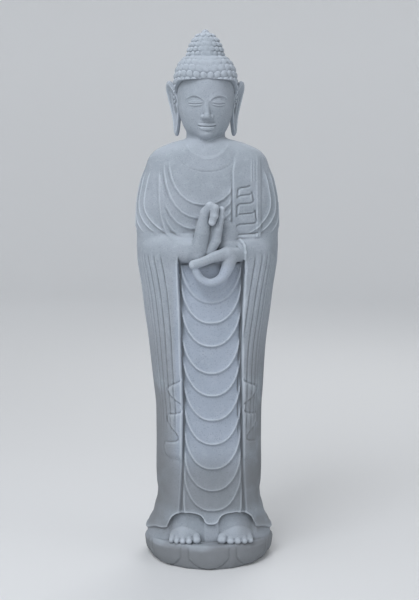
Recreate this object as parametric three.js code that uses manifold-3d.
// A standing Buddha, carved from one block of grey volcanic stone together with its lotus plinth.
// Lengths are in millimetres. +Z is up, the figure faces -Y, and the origin is the middle of the
// underside. Right and left in the comments are the viewer's, who looks along +Y.
//
// The carving is worked out as one field: figure(x, y, z) is about the distance from a point to the
// surface, below zero inside the stone. The field is sampled on a grid that narrows with the
// figure, skinned, thinned to a fixed number of triangles and cut flat underneath.
import * as THREE from "three";
import Module from "manifold-3d";

const FIGURE_HEIGHT = 1500;
const PLINTH_HEIGHT = 60;
const PLINTH_X = 4;
const TRIANGLES = 9600;
const DEGREE = Math.PI / 180;

const clamp = (v, low, high) => Math.min(high, Math.max(low, v));
const mix = (a, b, share) => a + (b - a) * share;

// 0 below low, 1 above high, and a smooth step between them.
function ease(low, high, v) {
  const t = clamp((v - low) / (high - low), 0, 1);
  return t * t * (3 - 2 * t);
}

// 1 at the middle, falling away like a bell over the width.
const bell = (v, width) => Math.exp(-((v / width) ** 2));

// Joins two solids with a fillet, and cuts one from another with a softened edge.
function join(a, b, fillet) {
  const h = Math.max(fillet - Math.abs(a - b), 0) / fillet;
  return Math.min(a, b) - (h * h * fillet) / 4;
}
const cut = (a, tool, fillet) => -join(-a, tool, fillet);

// A smooth curve through [height, value] stations that never overshoots them.
function profile(stations) {
  const z = stations.map((s) => s[0]);
  const v = stations.map((s) => s[1]);
  const last = z.length - 1;
  const rise = z.slice(1).map((top, i) => (v[i + 1] - v[i]) / (top - z[i]));
  const slope = z.map((_, i) => {
    if (i === 0) return rise[0];
    if (i === last) return rise[last - 1];
    return rise[i - 1] * rise[i] <= 0 ? 0 : (2 * rise[i - 1] * rise[i]) / (rise[i - 1] + rise[i]);
  });
  return (height) => {
    if (height <= z[0]) return v[0];
    if (height >= z[last]) return v[last];
    let i = 0;
    while (height > z[i + 1]) i++;
    const gap = z[i + 1] - z[i];
    const t = (height - z[i]) / gap;
    const start = v[i] * (1 + 2 * t) + slope[i] * gap * t;
    const end = v[i + 1] * (3 - 2 * t) - slope[i + 1] * gap * (1 - t);
    return start * (1 - t) ** 2 + end * t ** 2;
  };
}

function ellipsoid(x, y, z, rx, ry, rz) {
  const near = Math.hypot(x / rx, y / ry, z / rz);
  const slope = Math.hypot(x / rx ** 2, y / ry ** 2, z / rz ** 2);
  return slope < 1e-9 ? -Math.min(rx, ry, rz) : (near * (near - 1)) / slope;
}

// A round bar from a to b, each [x, y, z, radius].
function bar(x, y, z, a, b) {
  const dx = b[0] - a[0];
  const dy = b[1] - a[1];
  const dz = b[2] - a[2];
  const along = (x - a[0]) * dx + (y - a[1]) * dy + (z - a[2]) * dz;
  const t = clamp(along / (dx * dx + dy * dy + dz * dz), 0, 1);
  const away = Math.hypot(x - a[0] - dx * t, y - a[1] - dy * t, z - a[2] - dz * t);
  return away - mix(a[3], b[3], t);
}

// A limb or finger through several joints, each [x, y, z, radius].
function limb(x, y, z, joints, fillet) {
  let d = bar(x, y, z, joints[0], joints[1]);
  for (let i = 1; i < joints.length - 1; i++) {
    d = join(d, bar(x, y, z, joints[i], joints[i + 1]), fillet);
  }
  return d;
}

// The lotus plinth: a low drum with a ring of hanging petals carved round its side.
const PETALS = 8;
const PETAL_RAISE = 5;
const PETAL_BEHIND = 2.2;
const PETAL_GROOVE = 2.4;
const plinthHalfWidth = profile([
  [0, 168], [8, 176], [22, 183], [40, 186], [52, 187], [57, 186], [60, 182],
]);
const plinthHalfDepth = profile([
  [0, 170], [8, 172], [22, 170], [40, 162], [52, 154], [57, 150], [60, 146],
]);

function petalRelief(angle, z) {
  const turn = (angle * PETALS) / (2 * Math.PI);
  const fromMain = Math.abs(turn - Math.round(turn));
  const mainHalf = 0.42 * clamp((z - 4) / 26, 0, 1) ** 0.34;
  const main = clamp(1 - (fromMain / (mainHalf + 1e-6)) ** 2, 0, 1);
  const fromBehind = 0.5 - fromMain;
  const behind = clamp(1 - (fromBehind / 0.09) ** 2, 0, 1);
  const outline = bell(fromMain - mainHalf, 0.024);
  const tip = PETAL_BEHIND * Math.sqrt(behind) * (1 - ease(0, 0.1, main));
  return PETAL_RAISE * Math.sqrt(main) + tip - PETAL_GROOVE * outline;
}

function plinth(x, y, z) {
  const px = (x - PLINTH_X) / plinthHalfWidth(z);
  const py = y / plinthHalfDepth(z);
  const round = Math.hypot(px, py) + 1e-6;
  const away = Math.hypot(x - PLINTH_X, y);
  const relief = petalRelief(Math.atan2(px, -py), z) * ease(-2, 5, z) * (1 - ease(50, 58, z));
  return Math.max((away - away / round + PETAL_RAISE - relief) * 0.9, z - PLINTH_HEIGHT, -z - 8);
}

// The robed body: its half width, and its depth in front of and behind the middle, by height. Below
// the hips it stands a little to the right.
const ROBE_FOOT_X = 4;
const robeHalfWidth = profile([
  [50, 184], [75, 183], [97, 175], [121, 162.5], [146, 156.5], [170, 150], [194, 148], [218, 151],
  [266, 152.5], [338, 151.5], [432, 152], [503, 157.5], [574, 163], [644, 169.5], [713, 179], [782, 187],
  [828, 194], [866, 199], [920, 200], [988, 199.5], [1033, 195], [1078, 186], [1101, 180], [1123, 173.5],
  [1146, 165], [1158, 156], [1168, 145], [1179, 124], [1190, 95], [1199, 60], [1206, 40],
]);
const robeFront = profile([
  [50, 122], [150, 108], [250, 107], [400, 110], [550, 115], [700, 118], [860, 112], [950, 108],
  [1020, 110], [1080, 106], [1120, 98], [1150, 86], [1170, 74], [1190, 58], [1206, 40],
]);
const robeBack = profile([
  [50, 140], [90, 128], [150, 116], [300, 110], [500, 110], [650, 117], [800, 108], [950, 108],
  [1050, 112], [1100, 108], [1140, 98], [1165, 84], [1185, 66], [1206, 44],
]);
const ROBE_SQUARENESS = 2.35;
const ROBE_TOP = 1206;

// The front panel of the robe, between the two hanging sleeves, with its row of hanging folds.
const PANEL_X = 11;
const PANEL_FOLDS = [88, 154, 212, 275, 347, 416, 487, 551, 628, 693, 751];
const PANEL_FOLD = { rise: 140, cord: 4.4, swell: 2.6 };
const panelHalf = profile([[60, 110], [110, 98], [200, 85], [400, 82], [560, 83], [700, 85], [860, 87]]);

// How far a hanging fold has risen at a share of its half width, and how steeply it climbs there:
// level at the middle and upright at the ends.
const FOLD_POWER = 2.2;

function droop(share) {
  const left = 1 - share ** FOLD_POWER;
  return [1 - left ** (1 / FOLD_POWER), share ** (FOLD_POWER - 1) * left ** (1 / FOLD_POWER - 1)];
}

// Each fold is a raised cord at the lower edge of a surface that swells towards it.
function hangingFolds(across, z, half, bottoms, { rise, cord, swell }) {
  const [lift, slope] = droop(clamp(across / half, 0, 0.985));
  const level = z - rise * lift;
  const steep = 1 / Math.hypot(1, (rise * slope) / half);
  const last = bottoms.length - 1;
  let i = 0;
  while (i < last - 1 && level > bottoms[i + 1]) i++;
  const above = (level - bottoms[i]) * steep;
  const below = (bottoms[i + 1] - level) * steep;
  const between = clamp((level - bottoms[i]) / (bottoms[i + 1] - bottoms[i]), 0, 1);
  const started = ease(bottoms[0] - 14, bottoms[0] - 4, level);
  const shown = started * (1 - ease(bottoms[last] + 4, bottoms[last] + 20, level));
  const ridge = Math.max(bell(Math.max(above, 0), 8), bell(Math.max(below, 0), 4.5));
  return shown * (cord * ridge + swell * (1 - between) ** 1.5);
}

// Each sleeve hangs from the forearm as a thick layer beside the panel, with a narrow band between
// its edge and the panel's folds. Its long hem is folded to and fro beside the panel in three flaps,
// each cut round with a groove. The hem is given as [distance from the panel's middle, height].
const sleeveEdge = profile([
  [150, 94], [300, 86], [500, 83], [700, 85], [868, 90], [886, 87], [905, 73], [926, 48],
]);
const HEM_FOLD = [
  [84, 543], [89, 530], [103, 522], [121, 513], [126, 504], [119, 489], [108, 477], [97, 470], [86, 462],
  [84, 452], [90, 440], [105, 434], [124, 432], [127, 419], [125, 408], [117, 394], [106, 382], [97, 371],
  [96, 360], [104, 354], [118, 351], [134, 349], [139, 334], [134, 316], [124, 301], [112, 294],
];
const FLAP_RAISE = 3.4;
const FLAP_GROOVE = 3.2;
const sleeveThickness = profile([
  [280, 9], [400, 14], [552, 17], [700, 20], [840, 27], [882, 31], [900, 29], [916, 19], [930, 7], [942, 0],
]);
const bandThickness = profile([[70, 3], [160, 5], [400, 6], [540, 7], [700, 4], [850, 4], [890, 0]]);

// The distance from a point to a line through several points, seen from the front.
function distanceToLine(x, z, line) {
  let near = 99;
  for (let i = 0; i < line.length - 1; i++) {
    const [ax, az] = line[i];
    const [dx, dz] = [line[i + 1][0] - ax, line[i + 1][1] - az];
    const t = clamp(((x - ax) * dx + (z - az) * dz) / (dx * dx + dz * dz), 0, 1);
    near = Math.min(near, Math.hypot(x - ax - dx * t, z - az - dz * t));
  }
  return near;
}

function hemFlaps(across, z) {
  const near = distanceToLine(across, z, HEM_FOLD);
  let i = 0;
  while (i < HEM_FOLD.length - 2 && z < HEM_FOLD[i + 1][1]) i++;
  const [at, high] = HEM_FOLD[i];
  const [below, low] = HEM_FOLD[i + 1];
  const inside = across < mix(at, below, clamp((high - z) / (high - low), 0, 1));
  const shown = ease(286, 300, z) * (1 - ease(536, 548, z));
  const raised = FLAP_RAISE * ease(-2.5, 2.5, inside ? near : -near);
  return shown * (raised - FLAP_GROOVE * bell(near, 3));
}

function sleeveRelief(x, z, angle) {
  const across = Math.abs(x - PANEL_X);
  const edge = sleeveEdge(z);
  const onSleeve = ease(edge - 3, edge + 4, across);
  let layer = sleeveThickness(z) * onSleeve * ease(288, 320, z);
  if (z > 280 && z < 560) layer += hemFlaps(across, z) * onSleeve;
  const band = bandThickness(z) * onSleeve;
  const groove = 2.5 * bell(across - edge + 5, 3) * ease(66, 90, z) * (1 - ease(840, 860, z));
  const onFront = 1 - ease(36 * DEGREE, 70 * DEGREE, angle);
  return (Math.max(layer, band) - groove) * onFront;
}

// Fine upright pleats in the hanging sleeves, following the turn of the body.
const PLEAT_DEPTH = 3;

function pleats(angle, z, right) {
  const turn = angle / DEGREE;
  const count = (turn + 1.1 * Math.sin(z / 95 + right) - 31) / 5.6;
  const wide = ease(0.06, 0.7, Math.abs(count - Math.round(count)) * 2);
  const inRange = ease(27, 30, turn) * (1 - ease(84, 98, turn));
  const inHeight = ease(330, 430, z) * (1 - ease(872, 900, z));
  return -PLEAT_DEPTH * (1 - wide) * inRange * inHeight;
}

// Folds that fall straight from the shoulder at the left and turn in to hang under the raised hand,
// each [middle, half width at the left, top, bottom], and the crescents round both upper arms.
const CHEST_FOLDS = [
  [-9, 97, 1155, 1021], [-23, 97, 1148, 985], [-36, 97, 1130, 955], [-60, 74, 1105, 935],
  [-88, 45, 1070, 925],
];
const CHEST_FOLD_RIGHT = 65;
const CHEST_CORD = 4.8;
const ARM_FOLDS = [58, 69, 84, 100, 116];
const ARM_CORD = 5;
const ELBOW_Z = 1036;

function chestFolds(x, z) {
  let relief = 0;
  CHEST_FOLDS.forEach(([middle, leftHalf, top, bottom]) => {
    const half = x < middle ? leftHalf : (CHEST_FOLD_RIGHT - middle) / 0.73;
    const share = Math.abs(x - middle) / half;
    const [lift, slope] = droop(clamp(share, 0, 0.985));
    const rise = top - bottom;
    let away = (z - bottom - rise * lift) / Math.hypot(1, (rise * slope) / half);
    if (share > 0.985) away = z > bottom + 0.8 * rise ? half - Math.abs(x - middle) : -99;
    relief += bell(away, away > 0 ? 8.5 : 4) * (1 - ease(top - 45, top + 5, z));
  });
  return CHEST_CORD * Math.min(relief, 1.1);
}

function armFolds(angle, z) {
  const turn = angle / DEGREE + 21 * (Math.max(0, ELBOW_Z - z) / 85) ** 2;
  let relief = 0;
  ARM_FOLDS.forEach((at) => {
    relief += bell(turn - at, turn < at ? 2.4 : 1.3);
  });
  return ARM_CORD * relief * ease(930, 960, z) * (1 - ease(1085, 1125, z));
}

// The folded shawl on the left shoulder: a flat band whose gathered hem winds down it in a serpentine
// groove, with upright pleats over it.
const SHAWL = { inner: 68, outer: 146, bottom: 930, top: 1165, raise: 5 };
const SHAWL_HEM = [];
[1066, 1045, 1022, 994, 966, 938].forEach((z, i) => {
  const left = 83 - i;
  const right = 118 + 4.4 * i;
  const atLeft = [[left, z - 7], [left + 3, z - 3], [left + 9, z]];
  const atRight = [[right - 8, z + 2], [right - 2, z + 5], [right, z + 9]];
  const turn = [...atLeft, ...atRight];
  SHAWL_HEM.push(...(i % 2 ? turn : turn.reverse()));
});

function shawlRelief(x, z) {
  const inner = SHAWL.inner + 8 * ease(1110, SHAWL.top, z);
  const band = ease(inner - 2, inner + 4, x) * (1 - ease(SHAWL.outer - 2, SHAWL.outer + 5, x));
  const tall = ease(SHAWL.bottom - 3, SHAWL.bottom + 3, z) * (1 - ease(1130, SHAWL.top, z));
  const hem = bell(distanceToLine(x, z, SHAWL_HEM), 2.6);
  const pleat = bell(x - 137, 2.4) + (bell(x - 121, 2.4) + bell(x - 129, 2)) * ease(1072, 1090, z);
  return tall * (SHAWL.raise * band - 4 * hem + 2.2 * pleat);
}

// The collar under the neck: a low rolled edge, and a line round it.
function collarRelief(x, z) {
  const rolled = (Math.hypot(x / 56, (z - 1190) / 44) - 1) * 48;
  const line = (Math.hypot(x / 84, (z - 1166) / 56) - 1) * 66;
  const raised = 2.6 * bell(rolled, 5) * (1 - ease(1180, 1192, z));
  return raised - 1.8 * bell(line, 2.4) * (1 - ease(1140, 1156, z));
}

// The plain back: broad folds that hang between the shoulders.
const BACK_FOLDS = [330, 430, 532, 636, 740, 844, 948, 1050];
const BACK_FOLD = { rise: 110, cord: 2.6, swell: 2.4 };

function backRelief(x, z, angle) {
  const onBack = ease(112 * DEGREE, 134 * DEGREE, angle);
  const folds = hangingFolds(Math.abs(x), z, 150, BACK_FOLDS, BACK_FOLD);
  const falls = bell(angle / DEGREE - 114, 3) * 4 * ease(180, 300, z) * (1 - ease(1010, 1080, z));
  return onBack * folds + falls;
}

// The foot of the robe: a rolled hem that arches over each foot and runs level round the back, with
// a plain step back under it. In front both are given by the distance from between the feet.
const FOOT_SPREAD = 71;
const FOOT_X = 7.5;
const hemLine = profile([
  [0, 112], [12, 114], [19, 120], [24, 130], [32, 138], [48, 143], [71, 145], [96, 141], [112, 130],
  [122, 112], [128, 99], [140, 96], [180, 94],
]);
const hemDepth = profile([[0, 8], [16, 8], [24, 12], [112, 12], [130, 5], [180, 5]]);
const BACK_HEM = { line: 77, depth: 4 };

function overHem(relief, x, z, angle) {
  const across = Math.abs(x - FOOT_X);
  const toBack = ease(52 * DEGREE, 84 * DEGREE, angle);
  const over = z - mix(hemLine(across), BACK_HEM.line, toBack);
  const under = 1 - ease(-2, 2, over);
  const depth = mix(hemDepth(across), BACK_HEM.depth, toBack);
  return relief * (1 - under) - depth * under + 2.4 * bell(over - 4, 4);
}

function robe(placeX, y, z) {
  const x = placeX - ROBE_FOOT_X * (1 - ease(430, 640, z));
  const half = robeHalfWidth(z);
  const deep = y < 0 ? robeFront(z) : robeBack(z);
  const u = Math.abs(x) / half;
  const v = Math.abs(y) / deep;
  const round = (u ** ROBE_SQUARENESS + v ** ROBE_SQUARENESS) ** (1 / ROBE_SQUARENESS) + 1e-6;
  const away = Math.hypot(x, y);
  const angle = Math.atan2(u, -y / deep);
  const onFront = 1 - ease(50 * DEGREE, 68 * DEGREE, angle);
  let relief = 0;
  if (z < 945) {
    const across = Math.abs(x - PANEL_X);
    const onPanel = 1 - ease(panelHalf(z) - 6, panelHalf(z) + 1, across);
    relief += onFront * onPanel * hangingFolds(across, z, panelHalf(z), PANEL_FOLDS, PANEL_FOLD);
    relief += sleeveRelief(x, z, angle);
    relief += pleats(angle, z, x > PANEL_X ? 2 : 0);
  }
  if (z > 880) {
    const clearOfShawl = 1 - ease(SHAWL.inner - 6, SHAWL.inner, x);
    const chest = (chestFolds(x, z) + collarRelief(x, z)) * clearOfShawl + shawlRelief(x, z);
    relief += onFront * chest + armFolds(angle, z);
  }
  if (z < 170) relief = overHem(relief, x, z, angle);
  if (y > 0) relief += backRelief(x, z, angle);
  return Math.max((away - away / round - relief) * 0.85, PLINTH_HEIGHT - 10 - z, z - ROBE_TOP);
}

// The sleeved forearms, which come forward to the hands, and the hollow sleeve mouths under them.
const FOREARMS = [
  [[-152, -24, 900, 40], [-106, -82, 898, 36], [-50, -122, 894, 32]],
  [[152, -24, 900, 40], [112, -80, 896, 34], [88, -112, 888, 22]],
];
const SLEEVE_MOUTHS = [[-62, -132, 856, 20, 30, 6], [84, -128, 862, 13, 30, 6]];
const LEFT_CUFF = [
  [90, -112, 924, 3.5], [97, -119, 917, 4], [102, -126, 908, 4], [104, -131, 891, 4],
  [103, -128, 873, 4],
];

// The right hand stands upright, its index finger bent over. The left hand makes a ring below it.
const RIGHT_HAND = [
  [[-24, -128, 880, 27], [-13, -142, 948, 20], [-5, -146, 1000, 14.5]],
  [
    [-5, -146, 1000, 14.5], [8, -152, 1018, 12.5], [20, -158, 1013, 12], [19, -162, 994, 11.5],
    [13, -164, 976, 10],
  ],
  [
    [6, -138, 892, 14], [25, -144, 926, 13], [29, -146, 955, 12.5], [37, -146, 990, 9.5],
    [39, -144, 1010, 8],
  ],
  [[2, -132, 900, 14], [16, -134, 950, 12], [25, -136, 1000, 9]],
];

// The same finger with more joints, so that it bends evenly.
function bent(joints) {
  const eased = joints.slice(1).flatMap((joint, i) =>
    [0.25, 0.75].map((t) => joint.map((value, axis) => mix(joints[i][axis], value, t))),
  );
  return [joints[0], ...eased, joints.at(-1)];
}

const LEFT_HAND = [
  [[96, -102, 886, 22], [74, -124, 884, 21], [54, -140, 886, 20]],
  [[52, -142, 888, 18], [16, -156, 880, 13], [-15, -160, 866, 11.5], [-38, -160, 860, 12]],
  [
    [61, -138, 874, 20], [53, -148, 844, 16], [37, -155, 819, 12], [8, -156, 808, 10.5],
    [-21, -156, 821, 10], [-32, -157, 846, 9.5],
  ],
].map((joints) => bent(bent(joints)));
const HAND_BACKING = [
  [-10, -104, 930, 24, 34, 64], [12, -102, 960, 22, 30, 42], [44, -110, 876, 42, 34, 22],
  [14, -102, 828, 46, 36, 50], [54, -92, 934, 34, 34, 46], [54, -110, 902, 34, 28, 26],
];

function arms(x, y, z, d) {
  if (z < 770 || z > 1060) return d;
  let all = d;
  FOREARMS.forEach((joints) => {
    all = join(all, limb(x, y, z, joints, 12), 14);
  });
  SLEEVE_MOUTHS.forEach(([mx, my, mz, rx, ry, rz]) => {
    all = cut(all, ellipsoid(x - mx, y - my, z - mz, rx, ry, rz), 3);
  });
  all = join(all, limb(x, y, z, LEFT_CUFF, 3), 3);
  let hands = 1e3;
  HAND_BACKING.forEach(([bx, by, bz, rx, ry, rz]) => {
    hands = join(hands, ellipsoid(x - bx, y - by, z - bz, rx, ry, rz), 8);
  });
  [RIGHT_HAND, LEFT_HAND].forEach((hand) => {
    let whole = 1e3;
    hand.forEach((joints) => {
      whole = join(whole, limb(x, y, z, joints, 2), 3.5);
    });
    hands = join(hands, whole, 3);
  });
  return join(all, hands, 6);
}

// The bare feet on the plinth, with five toes each: [distance from the foot's middle, tip, radius]. The
// great toes are on the inner sides.
const TOES = [[-31, -130, 11], [-11, -132, 8.5], [6, -130, 8], [22, -126, 7.5], [36, -119, 7.5]];
const FOOT_WIDE = [1.06, 1.2];

function feet(x, y, z, d) {
  if (z < 40 || z > 175) return d;
  const way = x < FOOT_X ? -1 : 1;
  const fx = (way * (x - FOOT_X) - FOOT_SPREAD) / FOOT_WIDE[x < FOOT_X ? 0 : 1];
  let foot = ellipsoid(fx, y + 56, z - 60, 48, 66, 54);
  foot = join(foot, bar(fx, y, z, [-25, -88, 76, 19], [27, -84, 74, 15]), 12);
  TOES.forEach(([at, tip, radius]) => {
    const toe = bar(fx, y, z, [at * 0.93, -94, 78, radius], [at, tip + radius, 60 + radius, radius]);
    foot = join(foot, toe, 1.5);
  });
  return join(d, foot, 3);
}

// The neck and head. The head is turned a little to the right and bowed a little forward.
const HEAD = { x: -5, y: 4, pivot: 1230, turn: 3 * DEGREE, bow: Math.tan(3.5 * DEGREE) };
const CHIN = 1196;
const HAIRLINE = 1362;
const FACE_THIRD = (HAIRLINE - CHIN) / 3;
const BROW = HAIRLINE - FACE_THIRD;
const NOSE_BASE = CHIN + FACE_THIRD;
const EYE = { x: 32, z: BROW - 9, half: 19 };
const MOUTH = { z: CHIN + FACE_THIRD * 0.66, half: 25 };

// What the face adds to its egg-shaped form, by the place seen from the front.
function faceRelief(x, z) {
  const side = Math.abs(x);
  const ex = (side - EYE.x) / EYE.half;
  const browAt = clamp((side - 7) / 58, 0, 1);
  const overBrow = z - (BROW - 7 + 17 * Math.max(Math.sin(Math.PI * browAt), 0) ** 0.8);
  const brow = bell(overBrow, overBrow > 0 ? 7 : 2.2) * ease(4, 9, side) * (1 - ease(52, 64, side));
  const socket = bell(side - EYE.x, 22) * bell(z - EYE.z - 1, 12);
  const lid = clamp(1 - ((side - EYE.x) / 23) ** 2 - ((z - EYE.z) / 12) ** 2, 0, 1) ** 0.8;
  const crease = bell(z - EYE.z - 8 + 5 * ex * ex, 1.4) * (1 - ease(0.9, 1.15, Math.abs(ex)));
  const lidLine = bell(z - EYE.z + 4.5 - 3 * ex * ex, 1.5) * (1 - ease(0.95, 1.15, Math.abs(ex)));
  const muzzle = bell(x, 27) * bell(z - MOUTH.z, 17);
  const lineOfMouth = MOUTH.z + 3 * (x / MOUTH.half) ** 2;
  const upper = Math.sqrt(clamp(1 - (x / 26) ** 2 - ((z - lineOfMouth - 4.4) / 5.2) ** 2, 0, 1));
  const lower = Math.sqrt(clamp(1 - (x / 21) ** 2 - ((z - lineOfMouth + 5.4) / 6.2) ** 2, 0, 1));
  const parted = bell(z - lineOfMouth, 1.4) * (1 - ease(23, 27, side));
  const underLip = bell(x, 16) * bell(z - MOUTH.z + 14, 4);
  const eyes = 2.8 * brow - 5.5 * socket + 7 * lid - 1.5 * crease - 2.8 * lidLine;
  return eyes + 3 * muzzle + 4 * upper + 4.2 * lower - 3 * parted - 2 * underLip;
}

function nose(x, y, z) {
  const ridge = bar(x, y, z, [0, -83, BROW - 4, 5.5], [0, -94, NOSE_BASE + 10, 8]);
  const tip = ellipsoid(x, y + 95, z - NOSE_BASE - 8, 9, 11, 8);
  const wings = ellipsoid(Math.abs(x) - 11, y + 86, z - NOSE_BASE - 6.5, 7, 12, 6.5);
  return join(join(ridge, tip, 6), wings, 3);
}

// Long ears: a rim round a hollow shell, set wider towards the top, and a lobe that hangs clear of
// the jaw.
const EAR = { y: 8, z: 1283, tall: 76, flare: 38 * DEGREE };
const earSet = profile([[1206, 76], [1250, 75], [1285, 77], [1315, 83], [1335, 90], [1356, 96]]);

function ear(x, y, z) {
  const rx = Math.abs(x) - earSet(z);
  const ry = y - EAR.y;
  const along = rx * Math.sin(EAR.flare) + ry * Math.cos(EAR.flare) - 6;
  const through = rx * Math.cos(EAR.flare) - ry * Math.sin(EAR.flare);
  const wide = mix(11, 23, ease(1238, 1312, z));
  const round = (Math.abs(along / wide) ** 2.3 + Math.abs((z - EAR.z) / EAR.tall) ** 2.3) ** (1 / 2.3);
  const rim = 4.5 * bell(round - 0.86, 0.13);
  const shell = 4.5 * (1 - ease(0.5, 0.74, round)) * ease(1248, 1278, z);
  const frontFlap = 5 * bell(along + 0.8 * wide, 5) * bell(z - 1290, 9);
  const carved = through > 0 ? rim - shell + frontFlap : 0;
  return cut(Math.abs(through) - 5.5 - carved, (1 - round) * wide, 4);
}

// Hair in rows of snail-shell curls, each a small boss, on the scalp and on the topknot.
const CURL_PITCH = 16;
const CURL_RAISE = 5.2;
const TOPKNOT = { y: 4, base: 1424, radius: 50, height: 68 };
const SCALP = { y: 10, z: 1334, rx: 86, ry: 93, rz: 98, squareness: 2.9 };

// A boss in each cell of a row: row is counted in rows, and round is the row's length.
function curl(row, rowLength, angle) {
  const index = Math.floor(row);
  const count = Math.max(1, Math.round(rowLength(index + 0.5) / CURL_PITCH));
  const cell = (angle / (2 * Math.PI)) * count + 0.5 * (index % 2);
  const du = (cell - Math.floor(cell) - 0.5) * 2;
  const dv = (row - index - 0.5) * 2;
  return Math.sqrt(clamp(1 - (du * du + dv * dv) * 0.96, 0, 1));
}

function scalpCurls(x, y, z) {
  const out = Math.hypot(x, (y - SCALP.y) * (SCALP.rx / SCALP.ry));
  const polar = Math.atan2(out, z - SCALP.z + 28);
  const rowAngle = CURL_PITCH / 115;
  const rowLength = (row) => {
    const down = Math.min(row * rowAngle + 0.02, Math.PI / 2);
    return 2 * Math.PI * 92 * Math.min(1, Math.sin(down) * 1.08);
  };
  return curl((polar - 0.02) / rowAngle, rowLength, Math.atan2(x, -(y - SCALP.y)));
}

function topknotCurls(x, y, z) {
  const rowLength = (row) => {
    const share = clamp(1 - (Math.max(row, 0) / 5.1) ** 1.8, 0.01, 1);
    return 2 * Math.PI * TOPKNOT.radius * Math.sqrt(share);
  };
  return curl((z - TOPKNOT.base) / (TOPKNOT.height / 5), rowLength, Math.atan2(x, -(y - TOPKNOT.y)));
}

const hairEdge = profile([
  [0, HAIRLINE], [50, 1357], [70, 1340], [88, 1306], [105, 1262], [130, 1232], [180, 1226],
]);

// Curls which years of hands and rain have rubbed down at the front, almost to one surface.
function rubbedCurls(curls, x, front, half, z) {
  const rubbed = 0.85 * bell(x, half) * ease(15, 45, front) * ease(1374, 1390, z);
  return CURL_RAISE * mix(curls, 0.5, rubbed);
}

function hair(x, y, z) {
  const ux = Math.abs(x / SCALP.rx) ** SCALP.squareness;
  const uy = Math.abs((y - SCALP.y) / SCALP.ry) ** SCALP.squareness;
  const uz = Math.abs((z - SCALP.z) / SCALP.rz) ** SCALP.squareness;
  const round = (ux + uy + uz) ** (1 / SCALP.squareness) + 1e-6;
  const away = Math.hypot(x, y - SCALP.y, z - SCALP.z);
  const turn = Math.atan2(Math.abs(x), -(y - SCALP.y)) / DEGREE;
  const napeDown = ellipsoid(x, y - 22, z - 1292, 72, 72, 76);
  const curls = rubbedCurls(scalpCurls(x, y, z), x, SCALP.y - y, 42, z);
  const scalp = cut(join(away - away / round, napeDown, 12) - curls, z - hairEdge(turn), 3);
  const kx = Math.hypot(x, y - TOPKNOT.y) / TOPKNOT.radius;
  const kz = Math.max(0, z - TOPKNOT.base) / TOPKNOT.height;
  const knot = (kx ** 1.8 + kz ** 1.8) ** (1 / 1.8) + 1e-6;
  const knotAway = Math.hypot(x, y - TOPKNOT.y, Math.max(0, z - TOPKNOT.base));
  const knotCurls = rubbedCurls(topknotCurls(x, y, z), x, TOPKNOT.y - y, 20, z);
  const bossed = knotAway - knotAway / knot - knotCurls * (1 - ease(1484, 1493, z));
  let topknot = Math.max(bossed, TOPKNOT.base - 20 - z);
  topknot = join(topknot, ellipsoid(x, y - TOPKNOT.y, z - FIGURE_HEIGHT + 13, 12, 12, 13), 3);
  return join(scalp, topknot, 2);
}

function head(x, y, z, d) {
  if (z < 1150) return d;
  const neck = Math.max(ellipsoid(x - HEAD.x, y - 2, (z - 1200) * 0.35, 54, 54, 60), z - 1262, 1140 - z);
  let all = join(d, neck, 14);
  if (z < 1180) return all;
  const bx = x - HEAD.x;
  const by = y - HEAD.y + HEAD.bow * (z - HEAD.pivot);
  const hx = bx * Math.cos(HEAD.turn) + by * Math.sin(HEAD.turn);
  const hy = by * Math.cos(HEAD.turn) - bx * Math.sin(HEAD.turn);
  const skull = ellipsoid(hx, hy - 8, z - 1334, 80, 92, 86);
  const egg = ellipsoid(hx, hy + 18, z - 1287, 75, 72, 91);
  const jaw = ellipsoid(hx, hy + 26, z - 1240, 56, 52, 44);
  const chin = ellipsoid(hx, hy + 64, z - 1214, 22, 20, 16);
  const onFace = ease(18, 50, -hy);
  let face = join(join(join(skull, egg, 16), jaw, 16), chin, 14) - faceRelief(hx, z) * onFace;
  face = join(face, nose(hx, hy, z), 5);
  all = join(all, face, 6);
  if (z > 1198) all = join(all, ear(hx, hy, z), 4);
  return z > 1215 ? join(all, hair(hx, hy, z), 1.5) : all;
}

export function figure(x, y, z) {
  let d = robe(x, y, z);
  d = arms(x, y, z, d);
  d = feet(x, y, z, d);
  if (z < PLINTH_HEIGHT + 30) d = join(d, plinth(x, y, z), 3);
  return head(x, y, z, d);
}

// Grid heights: closer together at the hands and the head, where the carving is finest.
const LAYERS = [
  [-16, 74, 4], [74, 800, 5.2], [800, 1050, 3.4], [1050, 1180, 4.5], [1180, FIGURE_HEIGHT + 10, 2.8],
];
const COLUMNS = 112;
const ROWS = 98;

function gridHeights() {
  const heights = [];
  LAYERS.forEach(([low, high, step]) => {
    const steps = Math.round((high - low) / step);
    for (let i = 0; i < steps; i++) heights.push(mix(low, high, i / steps));
  });
  return heights;
}

const narrowed = (z) => ease(1150, 1216, z);
const gridX = (u, z) => (u - 0.5) * 2 * mix(214, 124, narrowed(z));
const gridY = (v, z) => mix(-24, 0, narrowed(z)) + (v - 0.5) * 2 * mix(200, 128, narrowed(z));

// Fills the hollows that no air reaches.
const FILLED = -0.01;

function fillHollows(value) {
  const open = new Uint8Array(value.length);
  const layer = COLUMNS * ROWS;
  const front = [0];
  open[0] = 1;
  while (front.length > 0) {
    const p = front.pop();
    [1, -1, COLUMNS, -COLUMNS, layer, -layer].forEach((step) => {
      const q = p + step;
      if (q < 0 || q >= value.length || open[q] || value[q] < 0) return;
      open[q] = 1;
      front.push(q);
    });
  }
  open.forEach((air, p) => {
    if (!air && value[p] >= 0) value[p] = FILLED;
  });
}

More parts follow.
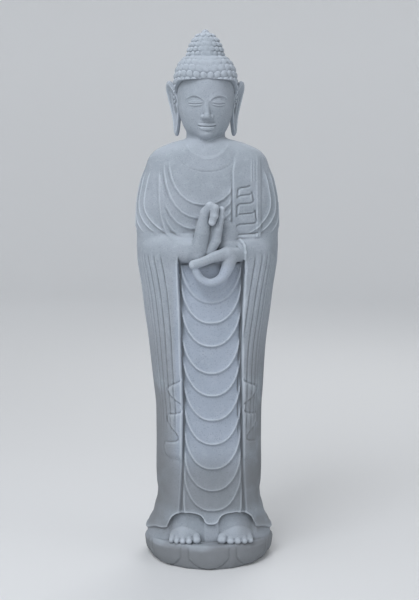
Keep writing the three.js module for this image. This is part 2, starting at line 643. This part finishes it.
// Fills the places where the stone would touch itself only along an edge, between two samples that
// lie across a square of the grid from each other.
function fillPinches(value) {
  const [dx, dy, dz] = [1, COLUMNS, COLUMNS * ROWS];
  let filled = 1;
  while (filled > 0) {
    filled = 0;
    [[dx, dy], [dx, dz], [dy, dz]].forEach(([a, b]) => {
      for (let p = 0; p < value.length - a - b; p++) {
        const [here, over, beside, across] = [p, p + a, p + b, p + a + b].map((q) => value[q] < 0);
        if (here !== across || here === over || here === beside) continue;
        (here ? [p + a, p + b] : [p, p + a + b]).forEach((q) => (value[q] = FILLED));
        filled++;
      }
    });
  }
}

// A sample far from the surface stands for those after it, up to this share of the distance.
const SKIP = 0.35;

// Skins the field: one point in each cell that the surface crosses, and one quad round each grid
// edge that it crosses.
function skin(field) {
  const heights = gridHeights();
  const layers = heights.length;
  const value = new Float32Array(COLUMNS * ROWS * layers);
  const at = (i, j, k) => i + COLUMNS * (j + ROWS * k);
  for (let k = 0; k < layers; k++) {
    const z = heights[k];
    const step = gridX(1 / (COLUMNS - 1), z) - gridX(0, z);
    for (let j = 0; j < ROWS; j++) {
      const y = gridY(j / (ROWS - 1), z);
      for (let i = 0; i < COLUMNS; ) {
        const d = field(gridX(i / (COLUMNS - 1), z), y, z);
        const next = Math.min(COLUMNS, i + Math.max(1, Math.floor((SKIP * Math.abs(d)) / step)));
        value.fill(d, at(i, j, k), at(next, j, k));
        i = next;
      }
    }
  }
  fillHollows(value);
  fillPinches(value);
  fillHollows(value);
  const points = [];
  const pointOf = new Int32Array(value.length).fill(-1);
  const corners = [0, 1, 2, 3, 4, 5, 6, 7].map((c) => [c & 1, (c >> 1) & 1, c >> 2]);
  const edges = [];
  for (let a = 0; a < 8; a++) for (let bit = 1; bit < 8; bit *= 2) if (!(a & bit)) edges.push([a, a | bit]);
  const cell = new Float32Array(8);
  for (let k = 0; k < layers - 1; k++)
    for (let j = 0; j < ROWS - 1; j++)
      for (let i = 0; i < COLUMNS - 1; i++) {
        let inside = 0;
        corners.forEach(([ci, cj, ck], c) => {
          cell[c] = value[at(i + ci, j + cj, k + ck)];
          if (cell[c] < 0) inside++;
        });
        if (inside === 0 || inside === 8) continue;
        let [si, sj, sk, crossings] = [0, 0, 0, 0];
        edges.forEach(([a, b]) => {
          if (cell[a] < 0 === cell[b] < 0) return;
          const t = cell[a] / (cell[a] - cell[b]);
          si += mix(corners[a][0], corners[b][0], t);
          sj += mix(corners[a][1], corners[b][1], t);
          sk += mix(corners[a][2], corners[b][2], t);
          crossings++;
        });
        const z = mix(heights[k], heights[k + 1], sk / crossings);
        const u = (i + si / crossings) / (COLUMNS - 1);
        const v = (j + sj / crossings) / (ROWS - 1);
        pointOf[at(i, j, k)] = points.length / 3;
        points.push(gridX(u, z), gridY(v, z), z);
      }
  const triangles = [];
  const quad = (a, b, c, d, flip) => {
    if (Math.min(a, b, c, d) < 0) throw new Error("the figure reaches out of the grid");
    triangles.push(...(flip ? [a, c, b, a, d, c] : [a, b, c, a, c, d]));
  };
  for (let k = 1; k < layers - 1; k++)
    for (let j = 1; j < ROWS - 1; j++)
      for (let i = 1; i < COLUMNS - 1; i++) {
        const here = value[at(i, j, k)] < 0;
        const p = (di, dj, dk) => pointOf[at(i - di, j - dj, k - dk)];
        const crosses = (di, dj, dk) => here !== value[at(i + di, j + dj, k + dk)] < 0;
        if (crosses(1, 0, 0)) quad(p(0, 1, 1), p(0, 0, 1), p(0, 0, 0), p(0, 1, 0), !here);
        if (crosses(0, 1, 0)) quad(p(1, 0, 1), p(1, 0, 0), p(0, 0, 0), p(0, 0, 1), !here);
        if (crosses(0, 0, 1)) quad(p(1, 1, 0), p(0, 1, 0), p(0, 0, 0), p(1, 0, 0), !here);
      }
  return { points, triangles };
}

// A heap that gives back the entry with the smallest key first.
function smallestFirst() {
  const heap = [];
  const before = (i, j) => heap[i][0] < heap[j][0];
  const swap = (i, j) => ([heap[i], heap[j]] = [heap[j], heap[i]]);
  return {
    add(entry) {
      let i = heap.push(entry) - 1;
      for (let up = (i - 1) >> 1; i > 0 && before(i, up); up = (i - 1) >> 1) {
        swap(i, up);
        i = up;
      }
    },
    take() {
      const first = heap[0];
      const last = heap.pop();
      if (heap.length === 0) return first;
      heap[0] = last;
      let i = 0;
      for (;;) {
        let down = 2 * i + 1;
        if (down >= heap.length) return first;
        if (down + 1 < heap.length && before(down + 1, down)) down++;
        if (!before(down, i)) return first;
        swap(i, down);
        i = down;
      }
    },
  };
}

// The point with the smallest summed squared distance to the planes kept in a quadric, and that sum.
function bestPoint(q, a, b) {
  const [xx, xy, xz, xw, yy, yz, yw, zz, zw, ww] = q;
  const cost = ([x, y, z]) =>
    xx * x * x + yy * y * y + zz * z * z + ww +
    2 * (xy * x * y + xz * x * z + yz * y * z + xw * x + yw * y + zw * z);
  const cx = yy * zz - yz * yz;
  const cy = yz * xz - xy * zz;
  const cz = xy * yz - yy * xz;
  const det = xx * cx + xy * cy + xz * cz;
  const middle = a.map((v, i) => (v + b[i]) / 2);
  const choices = [a, b, middle];
  if (Math.abs(det) > 1e-4 * (xx + yy + zz) ** 3) {
    const px = -(xw * cx + yw * cy + zw * cz) / det;
    const py = -(xw * cy + yw * (xx * zz - xz * xz) + zw * (xz * xy - xx * yz)) / det;
    const pz = -(xw * cz + yw * (xz * xy - xx * yz) + zw * (xx * yy - xy * xy)) / det;
    choices.push([px, py, pz]);
  }
  let best = [Infinity, middle];
  choices.forEach((point) => {
    const sum = cost(point);
    if (sum < best[0]) best = [sum, point];
  });
  return best;
}

function normalOf(a, b, c) {
  const u = b.map((v, i) => v - a[i]);
  const w = c.map((v, i) => v - a[i]);
  return [u[1] * w[2] - u[2] * w[1], u[2] * w[0] - u[0] * w[2], u[0] * w[1] - u[1] * w[0]];
}
const dot = (a, b) => a[0] * b[0] + a[1] * b[1] + a[2] * b[2];

// Thins a skin to the wanted number of triangles. It folds away the edge that costs the shape least,
// again and again, and leaves alone an edge whose folding would turn a triangle over or pinch the skin.
function thin({ points, triangles }, wanted) {
  const place = [];
  for (let i = 0; i < points.length; i += 3) place.push(points.slice(i, i + 3));
  const quadric = place.map(() => new Float64Array(10));
  const facesOf = place.map(() => new Set());
  const version = new Int32Array(place.length);
  const faces = [];
  for (let i = 0; i < triangles.length; i += 3) {
    const face = triangles.slice(i, i + 3);
    const normal = normalOf(...face.map((v) => place[v]));
    const double = Math.sqrt(dot(normal, normal));
    const [nx, ny, nz] = normal.map((v) => v / double);
    const w = -dot([nx, ny, nz], place[face[0]]);
    const plane = [nx * nx, nx * ny, nx * nz, nx * w, ny * ny, ny * nz, ny * w, nz * nz, nz * w, w * w];
    face.forEach((v) => {
      plane.forEach((term, k) => (quadric[v][k] += term * double));
      facesOf[v].add(faces.length);
    });
    faces.push(face);
  }
  const queue = smallestFirst();
  const offer = (a, b) => {
    const [cost, point] = bestPoint(quadric[a].map((v, k) => v + quadric[b][k]), place[a], place[b]);
    queue.add([cost, a, b, version[a] + version[b], point]);
  };
  const around = (v) => {
    const ring = new Set();
    facesOf[v].forEach((f) => faces[f].forEach((corner) => ring.add(corner)));
    ring.delete(v);
    return ring;
  };
  faces.forEach(([a, b, c]) => {
    if (a < b) offer(a, b);
    if (b < c) offer(b, c);
    if (c < a) offer(c, a);
  });
  const turnsOver = (v, other, point) => {
    for (const f of facesOf[v]) {
      if (faces[f].includes(other)) continue;
      const before = normalOf(...faces[f].map((corner) => place[corner]));
      const after = normalOf(...faces[f].map((corner) => (corner === v ? point : place[corner])));
      const sizes = Math.sqrt(dot(before, before) * dot(after, after));
      if (dot(before, after) < 0.25 * sizes || dot(after, after) < 1e-6) return true;
    }
    return false;
  };
  let left = faces.length;
  while (left > wanted) {
    const [, a, b, seen, point] = queue.take();
    if (facesOf[a].size === 0 || facesOf[b].size === 0 || seen !== version[a] + version[b]) continue;
    const ringOfA = around(a);
    if ([...around(b)].filter((v) => ringOfA.has(v)).length !== 2) continue;
    if (turnsOver(a, b, point) || turnsOver(b, a, point)) continue;
    place[a] = point;
    quadric[b].forEach((term, k) => (quadric[a][k] += term));
    for (const f of facesOf[b]) {
      if (faces[f].includes(a)) {
        faces[f].forEach((v) => facesOf[v].delete(f));
        faces[f] = null;
        left--;
      } else {
        faces[f] = faces[f].map((v) => (v === b ? a : v));
        facesOf[a].add(f);
      }
    }
    facesOf[b].clear();
    version[a]++;
    around(a).forEach((v) => offer(a, v));
  }
  const renamed = new Map();
  const kept = faces.filter((face) => face).flat();
  kept.forEach((v) => {
    if (!renamed.has(v)) renamed.set(v, renamed.size);
  });
  return {
    points: [...renamed.keys()].flatMap((v) => place[v]),
    triangles: kept.map((v) => renamed.get(v)),
  };
}

const wasm = await Module();
wasm.setup();

function solid({ points, triangles }) {
  const vertProperties = new Float32Array(points);
  const triVerts = new Uint32Array(triangles);
  return new wasm.Manifold(new wasm.Mesh({ numProp: 3, vertProperties, triVerts }));
}

// The ground: a box from 50 mm below the underside up to it, which cuts the figure off flat.
function ground() {
  const half = 300;
  const points = [];
  for (let corner = 0; corner < 8; corner++) {
    points.push(corner & 1 ? half : -half, corner & 2 ? half : -half, corner & 4 ? 0 : -50);
  }
  const sides = [[0, 2, 3, 1], [4, 5, 7, 6], [0, 1, 5, 4], [2, 6, 7, 3], [0, 4, 6, 2], [1, 3, 7, 5]];
  return solid({ points, triangles: sides.flatMap(([a, b, c, d]) => [a, b, c, a, c, d]) });
}

const carved = solid(thin(skin(figure), TRIANGLES)).subtract(ground()).getMesh();
const geometry = new THREE.BufferGeometry();
geometry.setAttribute("position", new THREE.Float32BufferAttribute(carved.vertProperties, carved.numProp));
geometry.setIndex(new THREE.Uint32BufferAttribute(carved.triVerts, 1));
geometry.computeVertexNormals();

const stone = new THREE.MeshStandardMaterial({ color: 0x8b949d, roughness: 0.92, metalness: 0 });
stone.name = "grey_stone";
const statue = new THREE.Mesh(geometry, stone);
statue.name = "standing_buddha";

const part = new THREE.Group();
part.name = "standing_buddha_statue";
part.add(statue);
export default part;
